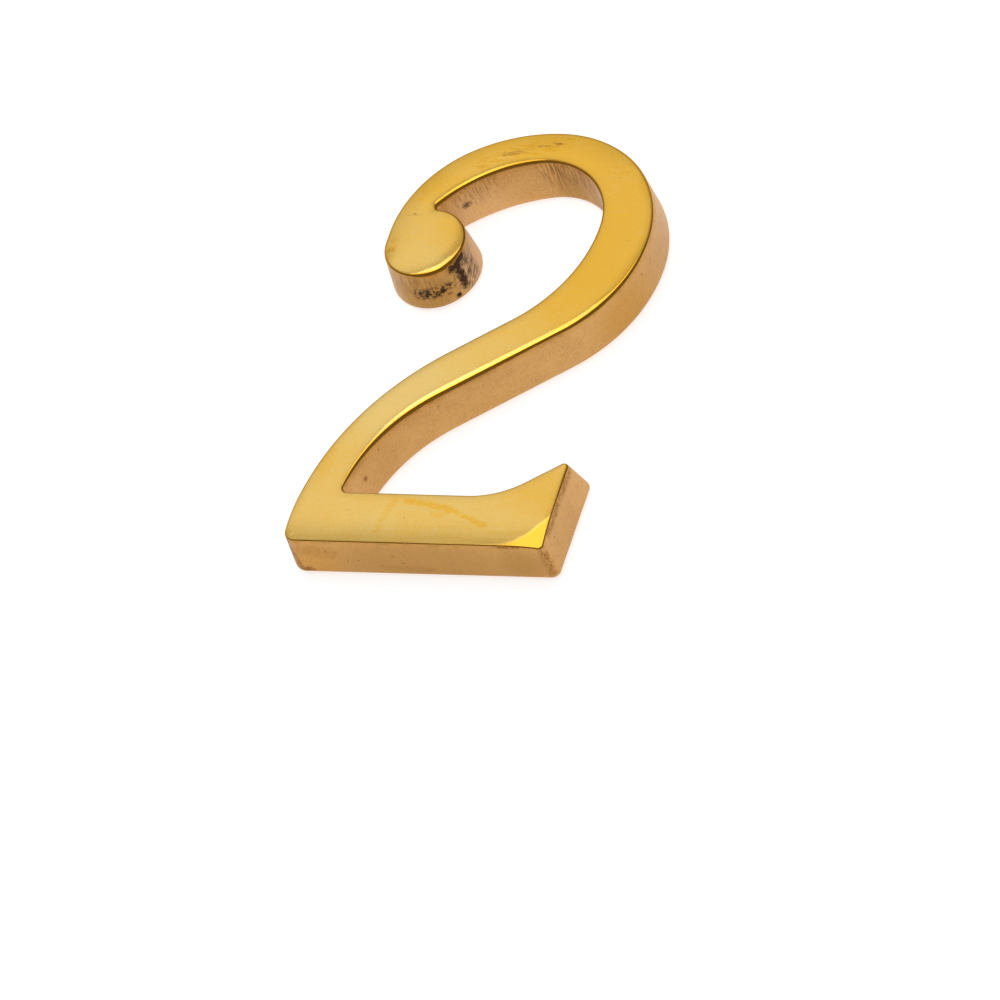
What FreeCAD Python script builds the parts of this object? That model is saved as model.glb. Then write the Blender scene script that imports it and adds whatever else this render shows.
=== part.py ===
"""Cast brass door numeral, the figure 2, with a ball terminal and a hooked foot.

The numeral lies on its back: +X is the reading direction, +Y points to the top of the figure and
+Z comes out of the face. The origin is the middle of the flat back. The outline is a chain of lines
and arcs that meet smoothly. It is drawn on the face and again, grown by the draft, on the back, so
that the walls splay and the pattern leaves the sand. The edges of the face and of the back are
rolled over, and the back has two blind holes, ready for tapping, that take the fixing studs.
"""
import FreeCAD, Part
import math
import os

import Sketcher
from FreeCAD import Vector

NODE = "numeral_two"
Z_AXIS = Vector(0, 0, 1)
MIDDLE_X = "(max(Sizes.width; Sizes.foot_length + Sizes.end_lean) - Sizes.ball_lean) / 2"
MIDDLE_Y = "Sizes.height / 2"

# Driving dimensions: alias, value in millimetres or degrees, meaning
SIZES = (
    ("height", 100.4, "height of the figure at the face"),
    ("width", 54.3, "width of the figure at the face"),
    ("depth", 9.9, "face to back"),
    ("draft_angle", 3.2, "lean of the walls, widening towards the back"),
    ("flank_radius", 28.3, "lower right of the bowl, outside"),
    ("shoulder_radius", 24.1, "upper left of the bowl, outside"),
    ("crown_run", 4.6, "centre of the shoulder to the top of the bowl, across"),
    ("crown_rise", 1.2, "top of the bowl above the top of the shoulder's circle"),
    ("terminal_straight", 2.3, "upright stretch between shoulder and ball"),
    ("ball_radius", 8.1, "ball terminal"),
    ("neck_width", 7.9, "left edge to the notch above the ball"),
    ("notch_radius", 0.8, "root of the notch"),
    ("top_stroke", 7.1, "thickness of the stroke at the top of the bowl"),
    ("side_stroke", 11.1, "thickness of the stroke at the right of the bowl"),
    ("counter_radius", 15.3, "upper right of the bowl, inside"),
    ("inner_flank_radius", 29.4, "lower right of the bowl, inside"),
    ("lobe_angle", 10.0, "turn past the top where the inside edge flattens towards the notch"),
    ("spine_angle", 37.7, "slope of the diagonal"),
    ("back_radius", 53.6, "left edge of the diagonal, down to the foot"),
    ("throat_radius", 34.2, "right edge of the diagonal, above the foot"),
    ("stem_width", 8.7, "left edge to the narrowest place above the foot"),
    ("crotch_radius", 1.2, "inside corner between diagonal and foot"),
    ("foot_length", 54.0, "length of the foot"),
    ("foot_height", 11.8, "thickness of the foot"),
    ("hook_run", 18.6, "length of the foot's upturned end"),
    ("hook_radius", 18.0, "sweep from the foot into the upturned end"),
    ("hook_angle", 36.7, "slope of the upturned end"),
    ("corner_radius", 1.0, "corners at the end of the foot, seen from the front"),
    ("heel_radius", 2.4, "lower left corner of the foot, seen from the front"),
    ("counter_lean", 1.2, "further lean of the wall inside the top of the bowl"),
    ("ball_lean", 0.45, "further lean of the ball's wall"),
    ("flank_lean", 2.2, "further radius of the bowl's lower right at the back"),
    ("throat_lean", 1.4, "further lean of the wall above the foot"),
    ("corner_lean", 0.3, "further radius of the foot's lower right corner at the back"),
    ("end_lean", 0.7, "further lean of the end of the foot"),
    ("tip_lean", 9.5, "further slope of the upturned end at the back"),
    ("face_round", 0.8, "rolled edge of the face"),
    ("back_round", 1.2, "rolled edge of the back"),
    ("stud_bore", 3.3, "tapping drill of the stud holes"),
    ("stud_depth", 6.0, "depth of the stud holes to the drill's shoulder"),
    ("stud_mouth", 4.4, "countersunk mouth of the stud holes"),
    ("mouth_angle", 90.0, "countersink"),
    ("drill_angle", 118.0, "point of the drill"),
)


def make_sheet(doc):
    """Spreadsheet with one named cell for each driving dimension."""
    sheet = doc.addObject("Spreadsheet::Sheet", "Sizes")
    for row, (alias, value, meaning) in enumerate(SIZES, start=1):
        sheet.set(f"A{row}", meaning)
        sheet.set(f"B{row}", str(value))
        sheet.setAlias(f"B{row}", alias)
    doc.recompute()
    return sheet


class Outline:
    """Closed chain of lines and arcs, drawn clockwise, each piece tangent to the next."""

    def __init__(self, sketch):
        self.sketch = sketch
        self.index = {}
        self.joints = []

    def line(self, name, start, end):
        """Straight piece; its vertices are entered at 1 and left at 2."""
        self.index[name] = self.sketch.addGeometry(Part.LineSegment(start, end), False)
        self.joints.append((self.index[name], 1, 2))

    def arc(self, name, centre, start, end, clockwise):
        """Round piece from start to end. A sketch's arcs run anticlockwise from vertex 1 to vertex 2."""
        circle = Part.Circle(centre, Z_AXIS, (start - centre).Length)
        first, last = (end, start) if clockwise else (start, end)
        angles = [math.atan2(p.y - centre.y, p.x - centre.x) for p in (first, last)]
        self.index[name] = self.sketch.addGeometry(Part.ArcOfCircle(circle, *angles), False)
        self.joints.append((self.index[name], 2, 1) if clockwise else (self.index[name], 1, 2))

    def close(self):
        """Join the end of each piece smoothly to the start of the next."""
        for (piece, _, leave), (follower, enter, _) in zip(self.joints, self.joints[1:] + self.joints[:1]):
            self.sketch.addConstraint(Sketcher.Constraint("Tangent", piece, leave, follower, enter))

    def drive(self, name, kind, elements, value, formula):
        """Dimension called name, bound to a formula in the sheet's cells."""
        number = self.sketch.addConstraint(Sketcher.Constraint(kind, *elements, value))
        self.sketch.renameConstraint(number, name)
        self.sketch.setExpression(f"Constraints.{name}", formula)


def touch(centre, other, radius):
    """Point of the circle about centre that lies in the direction of other."""
    return centre + (other - centre).normalize() * radius


def outline_formulas(at_back):
    """Radii, places and slopes of the outline, for the face or for the back that the walls splay out to."""
    splay = "Sizes.depth * tan(Sizes.draft_angle * 1 deg)" if at_back else "0"
    lean = {}
    for name in ("counter", "ball", "flank", "throat", "corner", "end", "tip"):
        lean[name] = f"Sizes.{name}_lean" if at_back else "0"
    bowl_radius = "(Sizes.width - Sizes.shoulder_radius - Sizes.crown_run)"
    radius = {"bowl": f"{bowl_radius} + {splay}"}
    for name in ("shoulder", "back"):
        radius[name] = f"Sizes.{name}_radius + {splay}"
    for name in ("ball", "flank"):
        radius[name] = f"Sizes.{name}_radius + {splay} + {lean[name]}"
    for name in ("notch", "inner_flank", "crotch", "hook"):
        radius[name] = f"Sizes.{name}_radius - {splay}"
    for name in ("counter", "throat"):
        radius[name] = f"Sizes.{name}_radius - {splay} - {lean[name]}"
    radius["heel"] = f"Sizes.heel_radius + {splay}"
    radius["toe"] = f"Sizes.corner_radius + {splay} + {lean['corner']}"
    radius["tip"] = f"Sizes.corner_radius + {splay}"
    shoulder_y = "Sizes.height - Sizes.crown_rise - Sizes.shoulder_radius"
    counter_x = "Sizes.width - Sizes.side_stroke - Sizes.counter_radius"
    place = {
        "bowl_x": "Sizes.shoulder_radius + Sizes.crown_run",
        "bowl_y": f"Sizes.height - {bowl_radius}",
        "shoulder_y": shoulder_y,
        "ball_x": "Sizes.ball_radius",
        "ball_y": f"{shoulder_y} - Sizes.terminal_straight",
        "notch_x": "Sizes.neck_width + Sizes.notch_radius",
        "counter_x": f"{counter_x} + {lean['counter']}",
        "counter_y": "Sizes.height - Sizes.top_stroke - Sizes.counter_radius",
        "back_x": "Sizes.back_radius",
        "throat_x": "Sizes.stem_width + Sizes.throat_radius",
        "foot_y": f"Sizes.foot_height + {splay}",
        "hook_x": "Sizes.foot_length - Sizes.hook_run",
        "end_x": f"Sizes.foot_length + {splay} + {lean['end']}",
        "base_y": splay,
    }
    slope = {
        "lobe": "90 + Sizes.lobe_angle",
        "upper": "Sizes.spine_angle",
        "rise": f"Sizes.hook_angle + {lean['tip']}",
    }
    return radius, place, slope


def draw_outline(sketch, at_back):
    """Outline of the figure. On the face, its left edge is on x = 0 and its underside on y = 0."""
    radius_formula, place_formula, slope_formula = outline_formulas(at_back)
    r = {name: float(sketch.evalExpression(formula)) for name, formula in radius_formula.items()}
    at = {name: float(sketch.evalExpression(formula)) for name, formula in place_formula.items()}
    turn = {name: math.radians(sketch.evalExpression(formula)) for name, formula in slope_formula.items()}
    shape = Outline(sketch)

    # Bowl, outside: flank, bowl, crown and shoulder, each tangent at its end
    bowl = Vector(at["bowl_x"], at["bowl_y"])
    top = bowl + Vector(0, r["bowl"])
    right = bowl + Vector(r["bowl"], 0)
    flank = right - Vector(r["flank"], 0)
    left = Vector(at["ball_x"] - r["ball"], at["shoulder_y"])
    shoulder = left + Vector(r["shoulder"], 0)
    shoulder_drop = top.y - shoulder.y
    crown_radius = (top.x - shoulder.x) ** 2 + shoulder_drop ** 2 - r["shoulder"] ** 2
    crown_radius /= 2 * (shoulder_drop - r["shoulder"])
    crown = top - Vector(0, crown_radius)
    shoulder_end = touch(crown, shoulder, crown_radius)

    # Ball terminal and notch
    ball = Vector(at["ball_x"], at["ball_y"])
    ball_left = ball - Vector(r["ball"], 0)
    notch_rise = math.sqrt((r["ball"] + r["notch"]) ** 2 - (at["notch_x"] - ball.x) ** 2)
    notch = Vector(at["notch_x"], ball.y + notch_rise)
    notch_end = touch(notch, ball, r["notch"])

    # Bowl, inside: the lobe runs from the counter's arc to the notch
    counter = Vector(at["counter_x"], at["counter_y"])
    inner_right = counter + Vector(r["counter"], 0)
    inner_flank = inner_right - Vector(r["inner_flank"], 0)
    lobe_axis = Vector(math.cos(turn["lobe"]), math.sin(turn["lobe"]))
    lobe_start = counter + lobe_axis * r["counter"]
    reach = lobe_start - notch
    lobe_radius = (reach.dot(reach) - r["notch"] ** 2) / (2 * (reach.dot(lobe_axis) - r["notch"]))
    lobe = lobe_start - lobe_axis * lobe_radius
    lobe_end = touch(lobe, notch, lobe_radius)

    # Diagonal: two parallel straights, each carried on by an arc towards the foot
    across = Vector(-math.sin(turn["upper"]), math.cos(turn["upper"]))

    def arc_below(point, radius, x):
        """Centre, at x, of the arc that the straight through point runs into."""
        return Vector(x, point.y - (across.x * (x - point.x) + radius) / across.y)

    upper_start = inner_flank - across * r["inner_flank"]
    back = arc_below(upper_start, r["back"], at["back_x"])
    upper_end = back + across * r["back"]
    lower_start = flank - across * r["flank"]
    throat = arc_below(lower_start, r["throat"], at["throat_x"])
    lower_end = throat + across * r["throat"]

    # Foot, with its upturned end
    crotch_y = at["foot_y"] + r["crotch"]
    crotch_run = math.sqrt((r["throat"] - r["crotch"]) ** 2 - (crotch_y - throat.y) ** 2)
    crotch = Vector(throat.x - crotch_run, crotch_y)
    crotch_start = touch(throat, crotch, r["throat"])
    crotch_end = crotch - Vector(0, r["crotch"])
    hook_start = Vector(at["hook_x"], at["foot_y"])
    hook = hook_start + Vector(0, r["hook"])
    hook_normal = Vector(-math.sin(turn["rise"]), math.cos(turn["rise"]))
    hook_end = hook - hook_normal * r["hook"]
    tip_x = at["end_x"] - r["tip"]
    tip_rise = (tip_x - hook_end.x) * math.tan(turn["rise"]) - r["tip"] / math.cos(turn["rise"])
    tip = Vector(tip_x, hook_end.y + tip_rise)
    tip_start = tip + hook_normal * r["tip"]
    tip_end = tip + Vector(r["tip"], 0)
    toe = Vector(at["end_x"] - r["toe"], r["toe"] - at["base_y"])
    toe_start = toe + Vector(r["toe"], 0)
    toe_end = toe - Vector(0, r["toe"])
    heel_y = r["heel"] - at["base_y"]
    heel_run = math.sqrt((r["back"] - r["heel"]) ** 2 - (heel_y - back.y) ** 2)
    heel = Vector(back.x - heel_run, heel_y)
    heel_start = heel - Vector(0, r["heel"])
    heel_end = touch(back, heel, r["back"])

    shape.arc("heel", heel, heel_start, heel_end, True)
    shape.arc("back", back, heel_end, upper_end, True)
    shape.line("upper", upper_end, upper_start)
    shape.arc("inner_flank", inner_flank, upper_start, inner_right, False)
    shape.arc("counter", counter, inner_right, lobe_start, False)
    shape.arc("lobe", lobe, lobe_start, lobe_end, False)
    shape.arc("notch", notch, lobe_end, notch_end, False)
    shape.arc("ball", ball, notch_end, ball_left, True)
    shape.line("terminal", ball_left, left)
    shape.arc("shoulder", shoulder, left, shoulder_end, True)
    shape.arc("crown", crown, shoulder_end, top, True)
    shape.arc("bowl", bowl, top, right, True)
    shape.arc("flank", flank, right, lower_start, True)
    shape.line("lower", lower_start, lower_end)
    shape.arc("throat", throat, lower_end, crotch_start, False)
    shape.arc("crotch", crotch, crotch_start, crotch_end, False)
    shape.line("foot", crotch_end, hook_start)
    shape.arc("hook", hook, hook_start, hook_end, False)
    shape.line("rise", hook_end, tip_start)
    shape.arc("tip", tip, tip_start, tip_end, True)
    shape.line("end", tip_end, toe_start)
    shape.arc("toe", toe, toe_start, toe_end, True)
    shape.line("base", toe_end, heel_start)
    shape.close()

    # The lobe leaves the counter's arc at a set turn, measured on a helper line
    index = shape.index
    index["lobe_axis"] = sketch.addGeometry(Part.LineSegment(lobe, lobe_start), True)
    sketch.addConstraint(Sketcher.Constraint("Coincident", index["lobe_axis"], 1, index["lobe"], 3))
    sketch.addConstraint(Sketcher.Constraint("Coincident", index["lobe_axis"], 2, index["lobe"], 1))

    for name in ("base", "foot"):
        sketch.addConstraint(Sketcher.Constraint("Horizontal", index[name]))
    for name in ("terminal", "end"):
        sketch.addConstraint(Sketcher.Constraint("Vertical", index[name]))
    for arc, neighbour in (("flank", "bowl"), ("inner_flank", "counter")):
        sketch.addConstraint(Sketcher.Constraint("Horizontal", index[arc], 3, index[neighbour], 3))
    sketch.addConstraint(Sketcher.Constraint("Vertical", index["crown"], 3, index["bowl"], 3))
    sketch.addConstraint(Sketcher.Constraint("Parallel", index["lower"], index["upper"]))

    for name, formula in radius_formula.items():
        shape.drive(f"{name}_radius", "Radius", (index[name],), r[name], formula)
    for name, piece in (("lobe", "lobe_axis"), ("upper", "upper"), ("rise", "rise")):
        formula = f"({slope_formula[name]}) * 1 deg"
        shape.drive(f"{name}_slope", "Angle", (index[piece],), turn[name], formula)
    for name, formula in place_formula.items():
        piece, axis = name.rsplit("_", 1)
        vertex = 1 if piece in ("foot", "end", "base") else 3
        spot = (index[piece], vertex)
        elements = (*spot, -1, 1) if piece == "base" else (-1, 1, *spot)
        shape.drive(name, f"Distance{axis.upper()}", elements, at[name], formula)


def level_face(feature, z):
    """Name of the feature's flat face that lies at height z."""
    for number, face in enumerate(feature.Shape.Faces, start=1):
        box = face.BoundBox
        if box.ZLength < 1e-6 and abs(box.ZMin - z) < 1e-6:
            return f"Face{number}"
    raise RuntimeError(f"{feature.Name} has no flat face at {z}")


def round_face(body, base, name, z, alias):
    """Fillet round the whole rim of the flat face at height z."""
    fillet = body.newObject("PartDesign::Fillet", name)
    fillet.Base = (base, [level_face(base, z)])
    fillet.setExpression("Radius", f"Sizes.{alias}")
    body.Document.recompute()
    return fillet


def drill_stud_holes(body, plane):
    """Two blind holes from the back, in the middle of the top stroke and of the foot."""
    sketch = body.newObject("Sketcher::SketchObject", "stud_places")
    sketch.AttachmentSupport = (plane, [""])
    sketch.MapMode = "FlatFace"
    heights = {
        "top": "Sizes.height - Sizes.top_stroke / 2",
        "foot": "Sizes.foot_height / 2",
    }
    for name, height in heights.items():
        formulas = {"x": MIDDLE_X, "y": height, "radius": "Sizes.stud_bore / 2"}
        value = {label: float(sketch.evalExpression(formula)) for label, formula in formulas.items()}
        circle = Part.Circle(Vector(value["x"], value["y"]), Z_AXIS, value["radius"])
        spot = sketch.addGeometry(circle, False)
        elements = {"x": (-1, 1, spot, 3), "y": (-1, 1, spot, 3), "radius": (spot,)}
        kinds = {"x": "DistanceX", "y": "DistanceY", "radius": "Radius"}
        for label, formula in formulas.items():
            dimension = Sketcher.Constraint(kinds[label], *elements[label], value[label])
            sketch.renameConstraint(sketch.addConstraint(dimension), f"{name}_{label}")
            sketch.setExpression(f"Constraints.{name}_{label}", formula)
    body.Document.recompute()

    hole = body.newObject("PartDesign::Hole", "stud_holes")
    hole.Profile = sketch
    hole.Reversed = True
    body.Document.recompute()
    hole.ThreadType = "None"
    hole.DepthType = "Dimension"
    hole.DrillPoint = "Angled"
    hole.HoleCutType = "Countersink"
    hole.setExpression("Diameter", "Sizes.stud_bore")
    hole.setExpression("Depth", "Sizes.stud_depth")
    hole.setExpression("DrillPointAngle", "Sizes.drill_angle * 1 deg")
    hole.setExpression("HoleCutDiameter", "Sizes.stud_mouth")
    hole.setExpression("HoleCutCountersinkAngle", "Sizes.mouth_angle * 1 deg")
    body.Document.recompute()
    return hole


def sketch_outline(body, plane, name, at_back):
    """Constrained sketch of the outline, on the back or at the height of the face."""
    sketch = body.newObject("Sketcher::SketchObject", name)
    sketch.AttachmentSupport = (plane, [""])
    sketch.MapMode = "FlatFace"
    if not at_back:
        sketch.setExpression("AttachmentOffset.Base.z", "Sizes.depth")
    draw_outline(sketch, at_back)
    body.Document.recompute()
    if sketch.solve() != 0 or not sketch.FullyConstrained:
        raise RuntimeError(f"the outline {name} does not close")
    return sketch


def make_numeral(doc, sheet):
    """The casting: tapered from the face to the back, with rolled edges and two stud holes."""
    body = doc.addObject("PartDesign::Body", NODE)
    body.Label = NODE
    plane = next(o for o in body.Origin.OriginFeatures if o.Role == "XY_Plane")

    face_outline = sketch_outline(body, plane, "face_outline", at_back=False)
    back_outline = sketch_outline(body, plane, "back_outline", at_back=True)
    casting = body.newObject("PartDesign::AdditiveLoft", "casting")
    casting.Profile = face_outline
    casting.Sections = [back_outline]
    casting.Ruled = True
    doc.recompute()

    front = round_face(body, casting, "rolled_face", sheet.depth, "face_round")
    rolled = round_face(body, front, "rolled_back", 0, "back_round")
    holes = drill_stud_holes(body, plane)
    if holes.Shape.Volume >= rolled.Shape.Volume:
        raise RuntimeError("the stud holes cut nothing")

    body.setExpression("Placement.Base.x", f"-{MIDDLE_X}")
    body.setExpression("Placement.Base.y", f"-{MIDDLE_Y}")
    doc.recompute()
    return body


def check(doc, body):
    """Stop unless every feature was rebuilt and the casting is one sound solid."""
    failed = [o.Name for o in doc.Objects if "Invalid" in o.State or "Error" in o.State]
    shape = body.Shape
    if failed or shape.isNull() or not shape.isValid() or len(shape.Solids) != 1:
        raise RuntimeError(f"the numeral is not sound: {failed}")


def main():
    doc = FreeCAD.newDocument("door_numeral")
    sheet = make_sheet(doc)
    body = make_numeral(doc, sheet)
    check(doc, body)
    os.makedirs("parts", exist_ok=True)
    body.Shape.exportStep(f"parts/{NODE}.step")


main()
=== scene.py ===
"""Cast brass door number, the figure 2, lying on its back on a white table.

All lengths are in millimetres until the mesh is made, which is in metres. A point of the plan is a
complex number, x + iy, and the outline is walked clockwise, so that the outside is on its left.
"""
import functools
import math

import bpy
import numpy as np
from mathutils import Matrix, Vector
from mathutils.geometry import delaunay_2d_cdt


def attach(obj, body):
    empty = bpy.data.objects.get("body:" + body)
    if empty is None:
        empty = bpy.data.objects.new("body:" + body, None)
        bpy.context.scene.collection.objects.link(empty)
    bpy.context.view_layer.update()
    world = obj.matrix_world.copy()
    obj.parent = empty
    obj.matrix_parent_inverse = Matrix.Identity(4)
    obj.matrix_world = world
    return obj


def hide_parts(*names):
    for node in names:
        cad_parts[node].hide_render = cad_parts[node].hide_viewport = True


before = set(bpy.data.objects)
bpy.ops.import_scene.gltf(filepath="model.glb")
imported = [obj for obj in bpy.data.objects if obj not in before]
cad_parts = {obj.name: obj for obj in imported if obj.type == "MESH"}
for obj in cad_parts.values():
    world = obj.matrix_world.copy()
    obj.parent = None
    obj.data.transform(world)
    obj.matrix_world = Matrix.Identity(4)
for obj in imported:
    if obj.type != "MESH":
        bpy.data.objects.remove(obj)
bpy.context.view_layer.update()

MM = 0.001

# Sizes of the casting, the same as in the part's source
HEIGHT = 100.4
WIDTH = 54.3
DEPTH = 9.9
DRAFT = math.radians(3.2)
FLANK_RADIUS = 28.3
SHOULDER_RADIUS = 24.1
CROWN_RUN = 4.6
CROWN_RISE = 1.2
TERMINAL_STRAIGHT = 2.3
BALL_RADIUS = 8.1
NECK_WIDTH = 7.9
NOTCH_RADIUS = 0.8
TOP_STROKE = 7.1
SIDE_STROKE = 11.1
COUNTER_RADIUS = 15.3
INNER_FLANK_RADIUS = 29.4
LOBE_ANGLE = math.radians(10.0)
SPINE_ANGLE = math.radians(37.7)
BACK_RADIUS = 53.6
THROAT_RADIUS = 34.2
STEM_WIDTH = 8.7
CROTCH_RADIUS = 1.2
FOOT_LENGTH = 54.0
FOOT_HEIGHT = 11.8
HOOK_RUN = 18.6
HOOK_RADIUS = 18.0
HOOK_ANGLE = math.radians(36.7)
CORNER_RADIUS = 1.0
HEEL_RADIUS = 2.4
COUNTER_LEAN = 1.2
BALL_LEAN = 0.45
FLANK_LEAN = 2.2
THROAT_LEAN = 1.4
CORNER_LEAN = 0.3
END_LEAN = 0.7
TIP_LEAN = math.radians(9.5)
BACK_ROUND = 1.2
STUD_BORE = 3.3
STUD_DEPTH = 6.0
STUD_MOUTH = 4.4
DRILL_ANGLE = math.radians(118.0)
MIDDLE = complex((max(WIDTH, FOOT_LENGTH + END_LEAN) - BALL_LEAN) / 2, HEIGHT / 2)
STUDS = (
    complex(0, HEIGHT - TOP_STROKE / 2 - MIDDLE.imag),
    complex(0, FOOT_HEIGHT / 2 - MIDDLE.imag),
)

# What the casting has beyond the drawing. A pair of numbers is the span over which a form comes in or
# ends. A RISE is a height on the plan, from the middle of the numeral where nothing else is named, and a
# SPAN is the cosine of the angle to a heading. WAVES are lengths of waves, and the seed of their draw.

# Thread in the stud holes, from the back to its runout, which is measured from the end of the bore
THREAD_MAJOR = 4.0
THREAD_PITCH = 0.7
THREAD_SHARPNESS = 3.2
THREAD_START = (0.1, 0.5)
THREAD_RUNOUT = (1.2, 0.5)

# Fall of the buffed face towards every edge, a little more on the right. The walls follow it less and
# less as they go down, by their height as a share of the depth
BUFF_WIDTH = 2.6
BUFF_DROP = 0.066
BUFF_WAVER = 0.2
BUFF_WAVES = ((19, 37, 53), 5)
BUFF_HEIGHTS = (0.35, 0.95)
EDGE_SPAN = (0.6, 0.95)
RIGHT_BUFF_DROP = 0.035
RIGHT_BUFF_RISE = (-15.0, 5.0)
UNEVENNESS = 0.012
FACE_WAVES = ((11, 17, 29), 7)

# Wider fall along the foot, over its base line, and round the crown, over the bowl's centre
FOOT_BUFF_WIDTH = 8.0
FOOT_BUFF_DROP = 0.33
FOOT_BUFF_RISE = (6.0, 8.0)
CROWN_BUFF_WIDTH = 6.0
CROWN_BUFF_DROP = 0.15
CROWN_BUFF_RISE = (-9.0, -3.0)
CROWN_HEADING = complex(-0.5, 0.87)
CROWN_SPAN = (0.1, 0.5)
CROWN_OUTER_SPAN = (0.4, 0.8)

# Dome of the ball's face: it falls towards the lower right, from just before the ball's middle
BALL_DOME = 0.0025
BALL_FALL = complex(0.8, -0.6)
BALL_FALL_START = -1.0
BALL_FADE = 2.0

# Broken rims that face the lower right, most of all along the diagonal
BREAK_WIDTH = 0.95
BREAK_DROP = 0.064
BREAK_HEADING = complex(0.61, -0.79)
BREAK_SPAN = (0.84, 0.97)
BREAK_RISE = (-44.0, -38.0)
BREAK_OFF_DIAGONAL = 0.4
DIAGONAL_START_RISE = (-28.0, -8.0)
DIAGONAL_END_RISE = (7.0, 13.0)

# Facet at the toe, with a curved long side. It ends at a run from the foot's end, and its shine sets in
# near its long side, over a span of its softness
TOE_FACET_RUN = 13.0
TOE_FACET_RISE = 7.4
TOE_FACET_BEND = 3.2
TOE_FACET_DROP = 0.72
TOE_FACET_SOFTNESS = 0.05
TOE_FACET_END = (10.0, 15.0)
TOE_FACET_SHINE = (-1.0, 1.5)

# Roll of the face's edge, which is softer on rims that face the lower right and crisper on the foot
EDGE_ROUND = 0.45
SOFT_EDGE_ROUND = 0.75
FOOT_EDGE_ROUND = 0.25
FOOT_EDGE_RISE = (-42.0, -34.0)
EDGE_WAVER = 0.12
EDGE_WAVES = ((23, 41, 67), 3)

# How fine the mesh is. A clearance is a share of the lattice's spacing, and a block is how many points
# are worked on at once
PLAN_STEP = 0.36
SHORT_ARC_STEPS = 8
FACE_ROUND_ROWS = 10
POLISHED_ROWS = (6, 9)
WALL_ROWS = 27
BACK_ROUND_ROWS = 7
FACE_LATTICE = 0.5
RIM_LATTICE = 0.22
RIM_CLEARANCE = 0.6
RIM_BAND = 1.1
BACK_LATTICE = 2.0
BACK_CLEARANCE = 0.4
MOUTH_CLEARANCE = 0.3
BORE_COLUMNS = 48
THREAD_ROWS = 96
DRILL_POINT_ROWS = 6
BLOCK = 1500
MERGE_DISTANCE = 1e-7


def touch(centre, other, radius):
    """Point of the circle about centre that lies in the direction of other."""
    return centre + radius * (other - centre) / abs(other - centre)


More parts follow.
